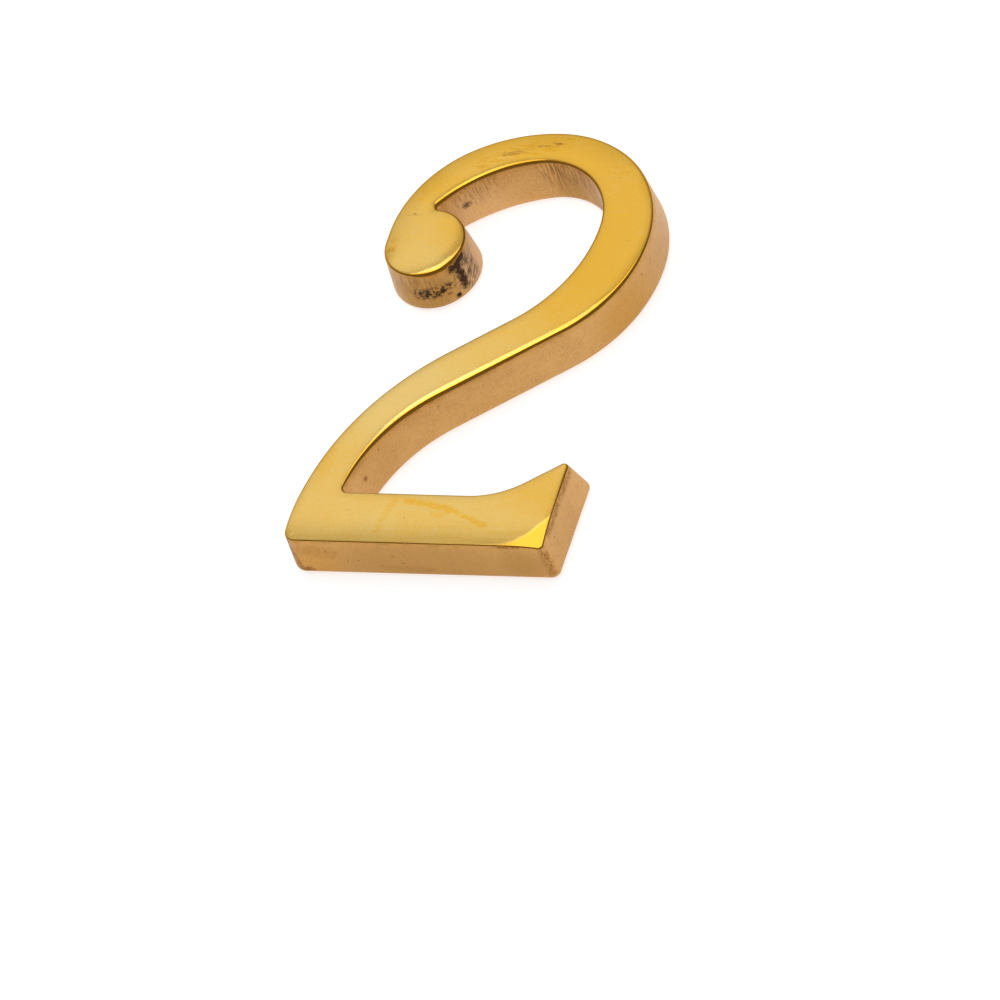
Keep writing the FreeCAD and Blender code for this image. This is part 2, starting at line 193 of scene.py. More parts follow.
def plan_pieces(at_back):
    """Lines and arcs of the outline, for the face or for the back that the walls splay out to.

    Each is (start, end, centre, turn). A line has no centre; turn is -1 round the outside of the
    metal and +1 round the inside. Each arc's centre follows from touching its two neighbours.
    """
    back = 1.0 if at_back else 0.0
    splay = back * DEPTH * math.tan(DRAFT)

    bowl_r = WIDTH - SHOULDER_RADIUS - CROWN_RUN + splay
    flank_r = FLANK_RADIUS + splay + back * FLANK_LEAN
    shoulder_r = SHOULDER_RADIUS + splay
    ball_r = BALL_RADIUS + splay + back * BALL_LEAN
    bowl = complex(SHOULDER_RADIUS + CROWN_RUN, HEIGHT - bowl_r + splay)
    top = bowl + 1j * bowl_r
    right = bowl + bowl_r
    flank = right - flank_r
    left = complex(BALL_RADIUS - ball_r, HEIGHT - CROWN_RISE - SHOULDER_RADIUS)
    shoulder = left + shoulder_r
    drop = top.imag - shoulder.imag
    crown_run = top.real - shoulder.real
    crown_r = (crown_run ** 2 + drop ** 2 - shoulder_r ** 2) / (2 * (drop - shoulder_r))
    crown = top - 1j * crown_r
    shoulder_end = touch(crown, shoulder, crown_r)

    ball = complex(BALL_RADIUS, left.imag - TERMINAL_STRAIGHT)
    ball_left = ball - ball_r
    notch_r = NOTCH_RADIUS - splay
    notch_run = NECK_WIDTH + NOTCH_RADIUS - ball.real
    notch = ball + complex(notch_run, math.sqrt((ball_r + notch_r) ** 2 - notch_run ** 2))
    notch_end = touch(notch, ball, notch_r)

    counter_r = COUNTER_RADIUS - splay - back * COUNTER_LEAN
    inner_flank_r = INNER_FLANK_RADIUS - splay
    counter_x = WIDTH - SIDE_STROKE - COUNTER_RADIUS + back * COUNTER_LEAN
    counter = complex(counter_x, HEIGHT - TOP_STROKE - COUNTER_RADIUS)
    inner_right = counter + counter_r
    inner_flank = inner_right - inner_flank_r
    lobe_axis = 1j * complex(math.cos(LOBE_ANGLE), math.sin(LOBE_ANGLE))
    lobe_start = counter + lobe_axis * counter_r
    reach = lobe_start - notch
    lobe_rise = (reach * lobe_axis.conjugate()).real
    lobe_r = (abs(reach) ** 2 - notch_r ** 2) / (2 * (lobe_rise - notch_r))
    lobe = lobe_start - lobe_axis * lobe_r
    lobe_end = touch(lobe, notch, lobe_r)

    across = 1j * complex(math.cos(SPINE_ANGLE), math.sin(SPINE_ANGLE))

    def arc_below(point, radius, x):
        return complex(x, point.imag - (across.real * (x - point.real) + radius) / across.imag)

    spine_r = BACK_RADIUS + splay
    throat_r = THROAT_RADIUS - splay - back * THROAT_LEAN
    upper_start = inner_flank - across * inner_flank_r
    spine = arc_below(upper_start, spine_r, BACK_RADIUS)
    upper_end = spine + across * spine_r
    lower_start = flank - across * flank_r
    throat = arc_below(lower_start, throat_r, STEM_WIDTH + THROAT_RADIUS)
    lower_end = throat + across * throat_r

    foot_y = FOOT_HEIGHT + splay
    crotch_r = CROTCH_RADIUS - splay
    crotch_y = foot_y + crotch_r
    crotch_run = math.sqrt((throat_r - crotch_r) ** 2 - (crotch_y - throat.imag) ** 2)
    crotch = complex(throat.real - crotch_run, crotch_y)
    crotch_start = touch(throat, crotch, throat_r)
    crotch_end = crotch - 1j * crotch_r
    hook_r = HOOK_RADIUS - splay
    hook_start = complex(FOOT_LENGTH - HOOK_RUN, foot_y)
    hook = hook_start + 1j * hook_r
    slope = HOOK_ANGLE + back * TIP_LEAN
    hook_normal = 1j * complex(math.cos(slope), math.sin(slope))
    hook_end = hook - hook_normal * hook_r
    end_x = FOOT_LENGTH + splay + back * END_LEAN
    tip_r = CORNER_RADIUS + splay
    tip_x = end_x - tip_r
    tip_rise = (tip_x - hook_end.real) * math.tan(slope) - tip_r / math.cos(slope)
    tip = complex(tip_x, hook_end.imag + tip_rise)
    tip_start = tip + hook_normal * tip_r
    tip_end = tip + tip_r
    corner_r = CORNER_RADIUS + splay + back * CORNER_LEAN
    toe = complex(end_x - corner_r, corner_r - splay)
    toe_start = toe + corner_r
    toe_end = toe - 1j * corner_r
    heel_r = HEEL_RADIUS + splay
    heel_y = heel_r - splay
    heel_run = math.sqrt((spine_r - heel_r) ** 2 - (heel_y - spine.imag) ** 2)
    heel = complex(spine.real - heel_run, heel_y)
    heel_start = heel - 1j * heel_r
    heel_end = touch(spine, heel, spine_r)

    return (
        (heel_start, heel_end, heel, -1),
        (heel_end, upper_end, spine, -1),
        (upper_end, upper_start, None, 0),
        (upper_start, inner_right, inner_flank, 1),
        (inner_right, lobe_start, counter, 1),
        (lobe_start, lobe_end, lobe, 1),
        (lobe_end, notch_end, notch, 1),
        (notch_end, ball_left, ball, -1),
        (ball_left, left, None, 0),
        (left, shoulder_end, shoulder, -1),
        (shoulder_end, top, crown, -1),
        (top, right, bowl, -1),
        (right, lower_start, flank, -1),
        (lower_start, lower_end, None, 0),
        (lower_end, crotch_start, throat, 1),
        (crotch_start, crotch_end, crotch, 1),
        (crotch_end, hook_start, None, 0),
        (hook_start, hook_end, hook, 1),
        (hook_end, tip_start, None, 0),
        (tip_start, tip_end, tip, -1),
        (tip_end, toe_start, None, 0),
        (toe_start, toe_end, toe, -1),
        (toe_end, heel_start, None, 0),
    )


def sweep_of(piece):
    """Angle that an arc turns through, with the sign of its turn."""
    start, end, centre, turn = piece
    angle = np.angle((end - centre) / (start - centre))
    return angle % (2 * math.pi) if turn > 0 else -((-angle) % (2 * math.pi))


def length_of(piece):
    """Length of a line, or radius times angle for an arc."""
    start, end, centre, _ = piece
    return abs(end - start) if centre is None else abs(sweep_of(piece)) * abs(start - centre)


def walk(pieces, steps):
    """Points and outward normals along the outline, steps of them on each piece.

    A line is start + t (end - start). An arc turns its start about its centre by t times its sweep.
    """
    points, normals = [], []
    for piece, count in zip(pieces, steps):
        start, end, centre, turn = piece
        t = np.arange(count) / count
        if centre is None:
            points.append(start + t * (end - start))
            normals.append(np.full(count, 1j * (end - start) / abs(end - start)))
        else:
            arm = (start - centre) * np.exp(1j * t * sweep_of(piece))
            points.append(centre + arm)
            normals.append(-turn * arm / abs(start - centre))
    return np.concatenate(points) - MIDDLE, np.concatenate(normals)


def ripple(p, lengths, seed):
    """Slow unevenness from -1 to 1: plane waves of the given lengths over the plan, added up."""
    rng = np.random.default_rng(seed)
    total = np.zeros(np.shape(p))
    for length in lengths:
        heading = np.exp(1j * rng.uniform(0, 2 * math.pi))
        total += np.sin((p * heading).real * 2 * math.pi / length + rng.uniform(0, 2 * math.pi))
    return total / len(lengths)


def smooth_step(x, low, high):
    """0 below low, 1 above high, and 3 t^2 - 2 t^3 between them."""
    t = np.clip((x - low) / (high - low), 0, 1)
    return t * t * (3 - 2 * t)


def blocks_of(points):
    """Numbers of the points, in blocks that are small enough to be set against a whole rim."""
    return np.array_split(np.arange(len(points)), max(1, len(points) // BLOCK))


def along(p, heading):
    """How far places or headings reach in the direction of a heading of length 1."""
    return (p * np.conj(heading)).real


def rim_distance(points, rim):
    """Distance from each point to the nearest segment of the closed rim, and that segment's number.

    The foot of the distance is at t along the segment, which is the arm from its start, measured along
    it, over its length, and at least 0 and at most 1.
    """
    run = np.roll(rim, -1) - rim
    distance = np.empty(len(points))
    segment = np.empty(len(points), int)
    for block in blocks_of(points):
        arm = points[block, None] - rim[None, :]
        t = np.clip((arm * run.conj()).real / abs(run) ** 2, 0, 1)
        apart = abs(arm - t * run)
        segment[block] = apart.argmin(axis=1)
        distance[block] = apart.min(axis=1)
    return distance, segment


def inside(points, rim):
    """Whether each point lies inside the closed rim, by the number of edges to its right."""
    after = np.roll(rim, -1)
    odd = np.zeros(len(points), bool)
    for block in blocks_of(points):
        y = points[block, None].imag
        spans = (rim.imag > y) != (after.imag > y)
        slope = (after.real - rim.real) / np.where(after.imag == rim.imag, 1.0, after.imag - rim.imag)
        crossing = rim.real + (y - rim.imag) * slope
        odd[block] = (spans & (points[block, None].real < crossing)).sum(axis=1) % 2 == 1
    return odd


def lattice(rim, spacing, clearance, reach=math.inf):
    """Points of a hexagonal lattice inside the rim, from clearance to reach away from it."""
    rise = spacing * math.sqrt(3) / 2
    x = np.arange(rim.real.min(), rim.real.max(), spacing)
    y = np.arange(rim.imag.min(), rim.imag.max(), rise)
    row, column = np.meshgrid(np.arange(len(y)), x, indexing="ij")
    points = (column + (row % 2) * spacing / 2 + 1j * y[row]).ravel()
    points = points[inside(points, rim)]
    distance, _ = rim_distance(points, rim)
    return points[(distance > clearance) & (distance < reach)]


def fill(points, loops):
    """Triangles that join the points inside the first closed loop of indices and outside the others."""
    edges = [(int(a), int(b)) for loop in loops for a, b in zip(loop, np.roll(loop, -1))]
    flat = [Vector((p.real, p.imag)) for p in points]
    triangles = np.array(delaunay_2d_cdt(flat, edges, [], 0, MERGE_DISTANCE, False)[2])
    centres = points[triangles].mean(axis=1)
    kept = inside(centres, points[loops[0]])
    for loop in loops[1:]:
        kept &= ~inside(centres, points[loop])
    return triangles[kept]


def wall_grid(face, back, normal):
    """Edge roll, wall and back roll: a profile carried along the outline, as rows from face to back.

    At each place the wall leans by the angle whose tangent is its outward run over the depth. Both
    rolls are arcs that touch the wall and the flat, and a point is the outline plus its outward
    offset along the normal plus the wall's own drift along the outline. The edge's roll grows on rims
    that face the lower right and shrinks on the foot. The third result is how far a point of it lies
    outside the flat of the face.
    """
    tangent = -1j * normal
    run = along(back - face, normal)
    drift = along(back - face, tangent)
    lean = np.arctan2(run, DEPTH)
    foot = 1 - smooth_step(face.imag, *FOOT_EDGE_RISE)
    soft = smooth_step(along(normal, BREAK_HEADING), *EDGE_SPAN) * (1 - foot)
    roll = EDGE_ROUND + soft * (SOFT_EDGE_ROUND - EDGE_ROUND) + foot * (FOOT_EDGE_ROUND - EDGE_ROUND)
    roll = roll * (1 + EDGE_WAVER * ripple(face, *EDGE_WAVES))

    down = np.linspace(0, 1, FACE_ROUND_ROWS + 1)[:, None]
    angle = math.pi / 2 + down * (lean - math.pi / 2)
    roll_centre = -roll * (1 - np.sin(lean)) / np.cos(lean)
    offset_top = roll_centre + roll * np.cos(angle)
    z_top = DEPTH - roll + roll * np.sin(angle)

    down = np.linspace(0, 1, BACK_ROUND_ROWS + 1)[:, None]
    angle = lean + down * (-math.pi / 2 - lean)
    offset_low = run - BACK_ROUND * (1 + np.sin(lean)) / np.cos(lean) + BACK_ROUND * np.cos(angle)
    z_low = BACK_ROUND + BACK_ROUND * np.sin(angle)

    down = np.linspace(0, 1, WALL_ROWS + 1)[1:-1, None]
    z_wall = z_top[-1] + down * (z_low[0] - z_top[-1])
    offset_wall = run * (1 - z_wall / DEPTH)

    z = np.concatenate([z_top, z_wall, z_low])
    offset = np.concatenate([offset_top, offset_wall, offset_low])
    beyond = np.clip(offset - offset[0], 0, roll)
    return face + normal * offset + tangent * drift * (1 - z / DEPTH), z, beyond


def bore_grid(middle):
    """Countersink, threaded bore and drill point of a stud hole, as rings from the back inwards.

    A ring's radius is the tapping drill's plus the thread: a triangle wave of the turn plus the depth
    over the pitch, faded in below the countersink and out above the drill's shoulder.
    """
    turn = np.arange(BORE_COLUMNS) / BORE_COLUMNS
    z = np.linspace(0, STUD_DEPTH, THREAD_ROWS)[:, None]
    phase = (z / THREAD_PITCH + turn) % 1
    cut = np.clip(THREAD_SHARPNESS * (0.5 - abs(phase - 0.5)), 0, 1)
    cut = cut * smooth_step(z, *THREAD_START)
    cut = cut * (1 - smooth_step(z, *np.subtract(STUD_DEPTH, THREAD_RUNOUT)))
    radius = STUD_BORE / 2 + (THREAD_MAJOR - STUD_BORE) / 2 * cut
    radius = np.maximum(radius, STUD_MOUTH / 2 - z)
    shrink = np.linspace(1, 0, DRILL_POINT_ROWS + 1)[1:-1, None]
    point_height = STUD_BORE / 2 / math.tan(DRILL_ANGLE / 2)
    z = np.concatenate([z, STUD_DEPTH + point_height * (1 - shrink)])
    radius = np.concatenate([radius, STUD_BORE / 2 * shrink * np.ones(BORE_COLUMNS)])
    plan = middle + radius * np.exp(2j * math.pi * turn)
    return plan, z * np.ones(BORE_COLUMNS), middle, STUD_DEPTH + point_height


def grid_quads(first, rows, columns):
    """Quads of a grid that closes on itself along its rows, from the index of its first point."""
    index = first + np.arange(rows * columns).reshape(rows, columns)
    after = np.roll(index, -1, axis=1)
    return np.stack([index[:-1], after[:-1], after[1:], index[1:]], axis=-1).reshape(-1, 4)


def toe_facet(p):
    """How far a place lies inside the facet at the toe, as a share of its rise.

    The facet's long side is a curve: its rise above the base is one minus the run, to a power.
    """
    run = np.clip((FOOT_LENGTH - MIDDLE.real - p.real) / TOE_FACET_RUN, 0, 1)
    return (1 - run) ** TOE_FACET_BEND - (p.imag + MIDDLE.imag) / TOE_FACET_RISE


def buffed_off(p, inset, heading):
    """How far the polishing wheel has lowered the face, by place, distance to the rim and its heading.

    Every edge falls with the square of its nearness to the rim and goes on at the rim's slope beyond
    it, deeper on the right. Along the foot the square is of the nearness to its base line, and round
    the crown of the nearness to the outer rim, both over a wider band. The ball's face falls with the
    square of the distance from a line across it. The toe has a facet that starts softly from its long
    side. Rims that face the lower right are broken further. The whole face has a slight wave.
    """
    def fall(width):
        near = np.clip(1 - inset / width, 0, None)
        return np.where(near > 1, 2 * near - 1, near ** 2)

    base = -MIDDLE.imag
    shoulder_y = HEIGHT - CROWN_RISE - SHOULDER_RADIUS
    bowl = complex(SHOULDER_RADIUS + CROWN_RUN / 2, shoulder_y) - MIDDLE
    bowl_radius = SHOULDER_RADIUS + CROWN_RISE / 2
    arm = p - bowl
    outward = arm / abs(arm)
    on_crown = smooth_step(along(heading, CROWN_HEADING), *CROWN_SPAN)
    on_crown = on_crown * smooth_step(along(heading, outward), *CROWN_OUTER_SPAN)
    on_crown = on_crown * smooth_step(p.imag - bowl.imag, *CROWN_BUFF_RISE)
    on_foot = smooth_step(-heading.imag, *EDGE_SPAN)
    on_foot = on_foot * (1 - smooth_step(p.imag - base, *FOOT_BUFF_RISE))

    on_right = smooth_step(heading.real, *EDGE_SPAN) * smooth_step(p.imag, *RIGHT_BUFF_RISE)
    drop = BUFF_DROP + RIGHT_BUFF_DROP * on_right
    drop = drop * (1 - on_foot) * (1 - on_crown) * fall(BUFF_WIDTH)
    drop = drop * (1 + BUFF_WAVER * ripple(p, *BUFF_WAVES))
    drop = drop + FOOT_BUFF_DROP * np.clip(1 - (p.imag - base) / FOOT_BUFF_WIDTH, 0, None) ** 2
    near_rim = np.clip(1 - (bowl_radius - abs(arm)) / CROWN_BUFF_WIDTH, 0, None)
    crown_side = smooth_step(along(outward, CROWN_HEADING), *CROWN_SPAN)
    drop = drop + CROWN_BUFF_DROP * crown_side * near_rim ** 2

    arm = p - (complex(BALL_RADIUS, shoulder_y - TERMINAL_STRAIGHT) - MIDDLE)
    on_ball = 1 - smooth_step(abs(arm), BALL_RADIUS, BALL_RADIUS + BALL_FADE)
    drop = drop + BALL_DOME * on_ball * np.clip(along(arm, BALL_FALL) - BALL_FALL_START, 0, None) ** 2

    facet = TOE_FACET_DROP * TOE_FACET_SOFTNESS * np.logaddexp(0, toe_facet(p) / TOE_FACET_SOFTNESS)
    drop = drop + facet * (1 - smooth_step(FOOT_LENGTH - MIDDLE.real - p.real, *TOE_FACET_END))

    on_diagonal = smooth_step(p.imag, *DIAGONAL_START_RISE)
    on_diagonal = on_diagonal * (1 - smooth_step(p.imag, *DIAGONAL_END_RISE))
    broken = BREAK_OFF_DIAGONAL + (1 - BREAK_OFF_DIAGONAL) * on_diagonal
    broken = broken * smooth_step(along(heading, BREAK_HEADING), *BREAK_SPAN)
    broken = broken * smooth_step(p.imag, *BREAK_RISE)
    drop = drop + BREAK_DROP * broken * fall(BREAK_WIDTH)
    return drop + UNEVENNESS * (1 + ripple(p, *FACE_WAVES))


def make_numeral():
    """The whole casting as one closed mesh: wall grid, buffed face, flat back and two stud holes.

    Its points are numbered in that order. Four attributes go with them for the finish: strip, which
    wraps the wall round a wheel of the outline's length and has the depth as its third number; polish,
    1 on the face; inset, the distance to the face's rim, below 0 outside it; and facet, 1 on the toe's.
    """
    face_pieces, back_pieces = plan_pieces(False), plan_pieces(True)
    steps = [max(SHORT_ARC_STEPS, math.ceil(length_of(piece) / PLAN_STEP)) for piece in face_pieces]
    face, face_normal = walk(face_pieces, steps)
    back, back_normal = walk(back_pieces, steps)
    normal = face_normal + back_normal
    normal = normal / abs(normal)
    plan, z, beyond = wall_grid(face, back, normal)
    rows, columns = plan.shape

    rim = plan[0]
    band_points = lattice(rim, RIM_LATTICE, RIM_LATTICE * RIM_CLEARANCE, RIM_BAND)
    face_points = np.concatenate([band_points, lattice(rim, FACE_LATTICE, RIM_BAND)])
    inset, nearest = rim_distance(face_points, rim)
    bores = [bore_grid(stud) for stud in STUDS]
    back_points = lattice(plan[-1], BACK_LATTICE, BACK_LATTICE * BACK_CLEARANCE)
    mouth_reach = STUD_MOUTH / 2 + BACK_LATTICE * MOUTH_CLEARANCE
    for stud in STUDS:
        back_points = back_points[abs(back_points - stud) > mouth_reach]

    blocks = [plan.ravel(), face_points, back_points]
    heights = [z.ravel(), np.full(len(face_points), DEPTH), np.zeros(len(back_points))]
    starts = [0, plan.size, plan.size + len(face_points)]
    on_wall = slice(starts[0], starts[1])
    on_face = slice(starts[1], starts[2])
    ends = []
    for rings, ring_z, tip, tip_z in bores:
        starts.append(starts[-1] + len(blocks[-1]))
        ends.append(starts[-1] + rings.size)
        blocks.append(np.append(rings.ravel(), tip))
        heights.append(np.append(ring_z.ravel(), tip_z))

    rim_index = np.arange(columns)
    face_index = np.concatenate([rim_index, starts[1] + np.arange(len(face_points))])
    face_triangles = face_index[fill(np.concatenate([rim, face_points]), [rim_index])]

    back_rim_index = (rows - 1) * columns + np.arange(columns)
    mouth_index = [start + np.arange(BORE_COLUMNS) for start in starts[3:]]
    back_index = np.concatenate([back_rim_index, starts[2] + np.arange(len(back_points)), *mouth_index])
    plan_all = np.concatenate(blocks)
    mouths = [len(back_index) - BORE_COLUMNS * (len(STUDS) - k) + np.arange(BORE_COLUMNS)
              for k in range(len(STUDS))]
    back_triangles = back_index[fill(plan_all[back_index], [rim_index, *mouths])][:, ::-1]

    wall_quads = grid_quads(0, rows, columns)
    bore_quads, bore_tips = [], []
    for (rings, _, _, _), start, end in zip(bores, starts[3:], ends):
        bore_quads.append(grid_quads(start, *rings.shape)[:, ::-1])
        last = end - BORE_COLUMNS + np.arange(BORE_COLUMNS)
        bore_tips.append(np.stack([np.roll(last, -1), last, np.full(BORE_COLUMNS, end)], axis=-1))

    z_all = np.concatenate(heights)
    inset_all = np.zeros(len(plan_all))
    inset_all[on_wall] = -beyond.ravel()
    inset_all[on_face] = inset
    heading = np.ones(len(plan_all), complex)
    heading[on_wall] = np.tile(normal, rows)
    heading[on_face] = normal[nearest]
    z_all = z_all - buffed_off(plan_all, inset_all, heading) * smooth_step(z_all / DEPTH, *BUFF_HEIGHTS)

    length = np.concatenate([[0], np.cumsum(abs(np.diff(face)))])
    perimeter = length[-1] + abs(face[0] - face[-1])
    wheel = np.exp(2j * math.pi * length / perimeter) * perimeter / (2 * math.pi)
    strip = np.zeros((len(plan_all), 3))
    strip[on_wall, 0] = np.tile(wheel.real, rows)
    strip[on_wall, 1] = np.tile(wheel.imag, rows)
    strip[:, 2] = DEPTH - z_all
    row_polish = np.zeros(rows)
    row_polish[:FACE_ROUND_ROWS] = np.interp(np.arange(FACE_ROUND_ROWS), POLISHED_ROWS, (1, 0))
    polish = np.zeros(len(plan_all))
    polish[on_wall] = np.repeat(row_polish, columns)
    polish[face_index] = 1

    mesh = bpy.data.meshes.new("cast_numeral")
    points = np.stack([plan_all.real, plan_all.imag, z_all], axis=-1) * MM
    triangles = np.concatenate([face_triangles, back_triangles, *bore_tips])
    quads = np.concatenate([wall_quads, *bore_quads])
    mesh.from_pydata(points.tolist(), [], quads.tolist() + triangles.tolist())
    mesh.validate()
    mesh.attributes.new("strip", "FLOAT_VECTOR", "POINT").data.foreach_set("vector", strip.ravel())
    facet = smooth_step(toe_facet(plan_all) / TOE_FACET_SOFTNESS, *TOE_FACET_SHINE) * polish
    for name, value in (("polish", polish), ("inset", inset_all), ("facet", facet)):
        mesh.attributes.new(name, "FLOAT", "POINT").data.foreach_set("value", value)
    mesh.shade_smooth()
    piece = bpy.data.objects.new("cast_numeral", mesh)
    bpy.context.scene.collection.objects.link(piece)
    return piece


class Nodes:
    """A tree of shader nodes, with short ways to add nodes and join them."""

    def __init__(self, tree):
        self.tree = tree

    def node(self, kind, inputs=(), **settings):
        """Node of a kind, with its inputs joined or set by name or number."""
        node = self.tree.nodes.new("ShaderNode" + kind)
        for name, value in settings.items():
            setattr(node, name, value)
        for name, value in dict(inputs).items():
            self.feed(node.inputs[name], value)
        return node

    def feed(self, socket, value):
        """Link another node's output to the socket, or set a plain value on it."""
        if isinstance(value, bpy.types.NodeSocket):
            self.tree.links.new(value, socket)
        else:
            socket.default_value = value

    def math(self, operation, a, b):
        return self.node("Math", {0: a, 1: b}, operation=operation).outputs[0]

    def plus(self, a, b):
        return self.math("ADD", a, b)

    def minus(self, a, b):
        return self.math("SUBTRACT", a, b)

    def times(self, a, b):
        return self.math("MULTIPLY", a, b)

    def most(self, masks):
        """The strongest of several masks."""
        return functools.reduce(lambda a, b: self.math("MAXIMUM", a, b), masks)

    def total(self, values):
        """Several numbers added up."""
        return functools.reduce(self.plus, values)

    def vector(self, operation, a, b):
        return self.node("VectorMath", {0: a, 1: b}, operation=operation).outputs["Vector"]

    def dot(self, a, b):
        return self.node("VectorMath", {0: a, 1: b}, operation="DOT_PRODUCT").outputs["Value"]

    def length(self, arm):
        return self.node("VectorMath", {0: arm}, operation="LENGTH").outputs["Value"]

    def axes(self, vector):
        """The X, Y and Z of a vector."""
        return self.node("SeparateXYZ", {0: vector}).outputs

    def ramp(self, value, low, high, top=1.0):
        """0 up to low, top from high on, and a smooth rise between. low may be above high."""
        inputs = {"Value": value, "From Min": low, "From Max": high, "To Max": top}
        return self.node("MapRange", inputs, interpolation_type="SMOOTHSTEP").outputs["Result"]

    def mix(self, share, a, b):
        """Colour a, giving way to colour b."""
        return self.node("Mix", {0: share, 6: a, 7: b}, data_type="RGBA").outputs[2]

    def blend(self, share, a, b):
        """Number a, giving way to number b."""
        return self.node("Mix", {0: share, 2: a, 3: b}).outputs[0]

    def noise(self, place, scale, detail, roughness, output="Fac"):
        inputs = {"Vector": place, "Scale": scale, "Detail": detail, "Roughness": roughness}
        return self.node("TexNoise", inputs).outputs[output]

    def sway(self, noise, share):
        """Noise about its middle, times a share."""
        return self.times(self.minus(noise, 0.5), share)


class Finish(Nodes):
    """A material, with its shader at hand."""

    def __init__(self, name):
        self.material = bpy.data.materials.new(name)
        self.material.use_nodes = True
        super().__init__(self.material.node_tree)
        self.shader = self.tree.nodes["Principled BSDF"]

    def attribute(self, name, output):
        return self.node("Attribute", attribute_name=name).outputs[output]

    def patch(self, place, centre, reach, edge, share=1.0):
        """A share in the core of an ellipsoid about centre, falling to 0 at its reach along each axis.

        The core is the ellipsoid times edge.
        """
        arm = self.vector("DIVIDE", self.vector("SUBTRACT", place, centre), reach)
        return self.ramp(self.length(arm), 1.0, edge, share)

    def streak(self, place, start, end, width, share=1.0):
        """A share along the line from start to end, falling to 0 at a distance of width from it.

        The line's nearest place is start plus t times its run, with t between 0 and 1.
        """
        run = np.subtract(end, start)
        arm = self.vector("SUBTRACT", place, start)
        t = self.node("Clamp", {"Value": self.dot(arm, run / (run @ run))}).outputs[0]
        nearest = self.node("VectorMath", {0: run, "Scale": t}, operation="SCALE").outputs["Vector"]
        distance = self.length(self.vector("SUBTRACT", arm, nearest))
        return self.ramp(distance, width, STREAK_CORE * width, share)

    def pits(self, place, spacing, size, share):
        """Round specks of a size, in a share of the cells of a loose pattern of a spacing."""
        cells = self.node("TexVoronoi", {"Vector": place, "Scale": 1 / spacing})
        draw = self.node("SeparateColor", {0: cells.outputs["Color"]}).outputs[0]
        speck = self.ramp(cells.outputs["Distance"], size / spacing, PIT_CORE * size / spacing)
        return self.times(speck, self.math("LESS_THAN", draw, share))


# Colours of the metal. Painted light among them: a pink sheen on the walls, an orange reflection under
# the face's edge, and a dark reflection at the toe's corner
GOLD = (0.825, 0.465, 0.055, 1)
EDGE_GOLD = (0.80, 0.37, 0.028, 1)
FILMED_GOLD = (0.84, 0.585, 0.19, 1)
STAIN = (0.735, 0.37, 0.026, 1)
COPPER = (0.675, 0.377, 0.126, 1)
PALE_COPPER = (0.80, 0.46, 0.18, 1)
DULL_COPPER = (0.61, 0.328, 0.104, 1)
ORANGE_TONE_AND_REFLECTION = (0.62, 0.315, 0.07, 1)
SHEEN_PINK = (0.66, 0.44, 0.29, 1)
BROWN_COPPER = (0.50, 0.265, 0.072, 1)
DIRT = (0.24, 0.115, 0.035, 1)
GRIME_AND_DARK_REFLECTION = (0.27, 0.10, 0.014, 1)
CASTING_SKIN = (0.05, 0.024, 0.01, 1)

# Roughness of the metal from its smoothest to its roughest places, and height of the walls' relief
FACE_ROUGHNESS = (0.07, 0.19)
WALL_ROUGHNESS = (0.34, 0.5)
RELIEF = 0.1 * MM

# Marks: the share of a streak's width and of a pit's size that is at full strength, and how ragged
# the edges of rubbed marks are, in millimetres
STREAK_CORE = 0.3
PIT_CORE = 0.5
RAGGEDNESS = 3.0


